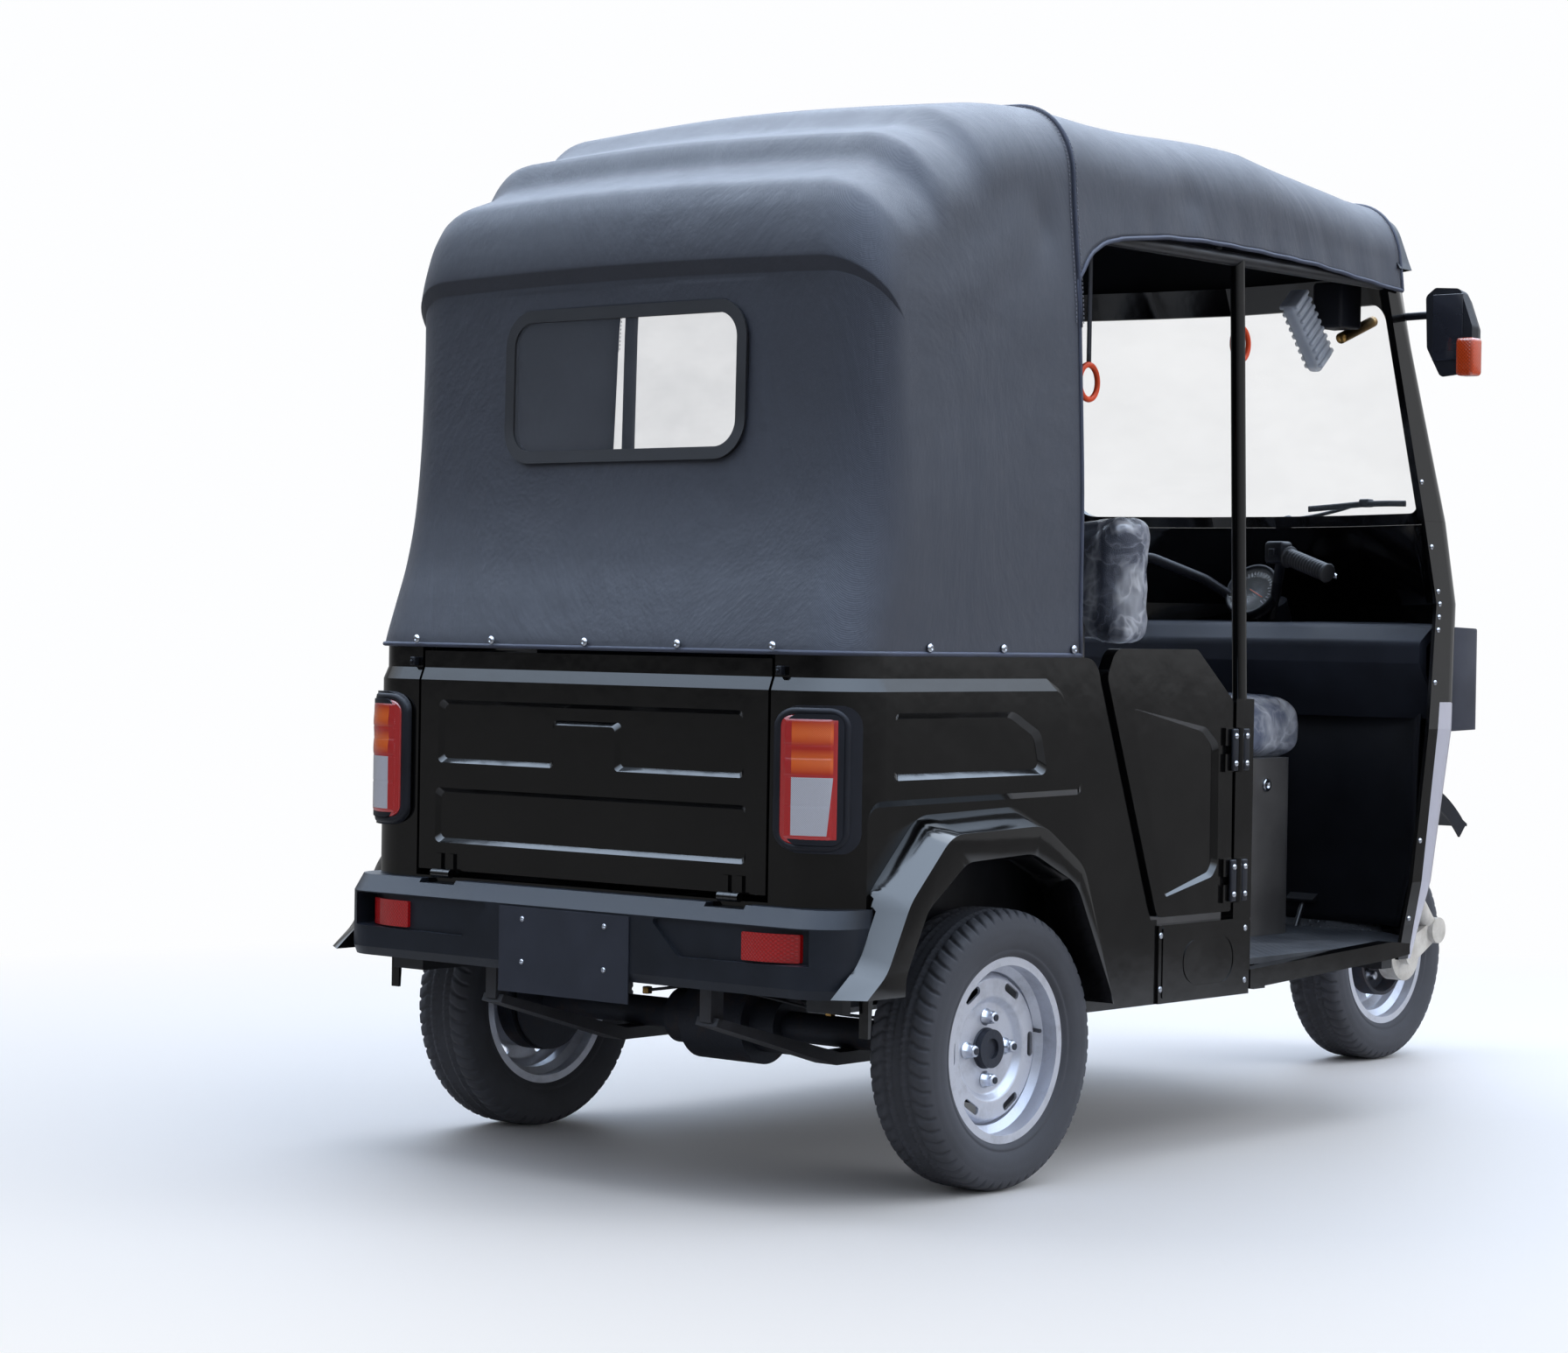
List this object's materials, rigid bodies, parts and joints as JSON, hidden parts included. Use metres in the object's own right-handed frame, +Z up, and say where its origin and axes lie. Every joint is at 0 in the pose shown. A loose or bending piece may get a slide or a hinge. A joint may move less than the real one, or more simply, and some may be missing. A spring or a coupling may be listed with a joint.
{
  "type": "auto rickshaw",
  "caption": "Three-wheeled auto rickshaw with a soft canopy, side doors, a drop-down tailgate and handlebar steering.",
  "frame": {"origin": "on the ground under the middle of the bounding box", "axes": "+X towards the front wheel, +Y to the vehicle's left, +Z up"},
  "size_m": [2.97, 1.54, 1.9454],
  "materials": {
    "body_paint": "gloss",
    "frame_paint": "satin",
    "bumper_plastic": "satin",
    "trim_plastic": "matt",
    "pod_plastic": "satin",
    "canopy_cloth": "matt",
    "gasket_rubber": "matt",
    "clear_glass": "polished",
    "lamp_red": "gloss",
    "plate_grey": "matt",
    "tyre_rubber": "matt",
    "wheel_silver": "gloss",
    "drum_iron": "matt",
    "fork_paint": "satin",
    "seat_leather": "satin",
    "engine_metal": "satin",
    "spring_steel": "satin",
    "panel_board": "matt"
  },
  "bodies": {
    "body": {"arch_flares": "body_paint", "belt_rails": "frame_paint", "bench_back": "seat_leather", "bench_box": "panel_board", "bench_cushion": "seat_leather", "brake_pedal": "frame_paint", "canopy": "canopy_cloth", "canopy_posts": "frame_paint", "chassis_frame": "frame_paint", "dashboard": "trim_plastic", "door_posts": "body_paint", "driver_back": "seat_leather", "driver_base": "body_paint", "driver_cushion": "seat_leather", "engine_block": "engine_metal", "floor_pan": "frame_paint", "front_cowl": "body_paint", "headlamps": "pod_plastic", "leaf_springs": "spring_steel", "luggage_deck": "frame_paint", "mirrors": "trim_plastic", "number_plate": "plate_grey", "rear_axle": "drum_iron", "rear_bow": "frame_paint", "rear_bumper": "bumper_plastic", "rear_frame": "frame_paint", "rear_valance": "body_paint", "rear_window": "clear_glass", "reflectors": "lamp_red", "roof_hoops": "frame_paint", "roof_rails": "frame_paint", "roof_stringers": "frame_paint", "roof_visor": "trim_plastic", "screen_frame": "body_paint", "side_panel_left": "body_paint", "side_panel_right": "body_paint", "sills": "body_paint", "steering_neck": "frame_paint", "tail_lamps": "lamp_red", "wheel_tubs": "frame_paint", "window_gasket": "gasket_rubber", "windscreen": "clear_glass"},
    "door_left": {"door_left": "body_paint"},
    "door_right": {"door_right": "body_paint"},
    "tailgate": {"tailgate": "body_paint"},
    "steering": {"front_fork": "fork_paint", "front_mudguard": "trim_plastic", "handlebar": "trim_plastic"},
    "front_wheel": {"front_tyre": "tyre_rubber", "front_rim": "wheel_silver", "front_hub": "drum_iron"},
    "rear_wheel_left": {"rear_tyre_left": "tyre_rubber", "rear_rim_left": "wheel_silver", "rear_hub_left": "drum_iron"},
    "rear_wheel_right": {"rear_tyre_right": "tyre_rubber", "rear_rim_right": "wheel_silver", "rear_hub_right": "drum_iron"}
  },
  "joints": [
    {"name": "front_wheel_spin", "type": "hinge", "parent": "steering", "child": "front_wheel", "pos_m": [1.19, 0, 0.247], "axis": [0, 1, 0], "continuous": true},
    {"name": "rear_wheel_left_spin", "type": "hinge", "parent": "body", "child": "rear_wheel_left", "pos_m": [-1.01, 0.558, 0.247], "axis": [0, 1, 0], "continuous": true},
    {"name": "rear_wheel_right_spin", "type": "hinge", "parent": "body", "child": "rear_wheel_right", "pos_m": [-1.01, -0.558, 0.247], "axis": [0, 1, 0], "continuous": true},
    {"name": "steering_turn", "type": "hinge", "parent": "body", "child": "steering", "pos_m": [0.86964, 0, 0.81568], "axis": [-0.4226, 0, 0.9063], "range_deg": [-30, 30]},
    {"name": "tailgate_hinge", "type": "hinge", "parent": "body", "child": "tailgate", "pos_m": [-1.45, 0, 0.52], "axis": [0, -1, 0], "range_deg": [0, 90]},
    {"name": "door_left_hinge", "type": "hinge", "parent": "body", "child": "door_left", "pos_m": [-0.268, 0.598, 0.635], "axis": [0, 0, -1], "range_deg": [0, 80]},
    {"name": "door_right_hinge", "type": "hinge", "parent": "body", "child": "door_right", "pos_m": [-0.268, -0.598, 0.635], "axis": [0, 0, 1], "range_deg": [0, 80]}
  ]
}
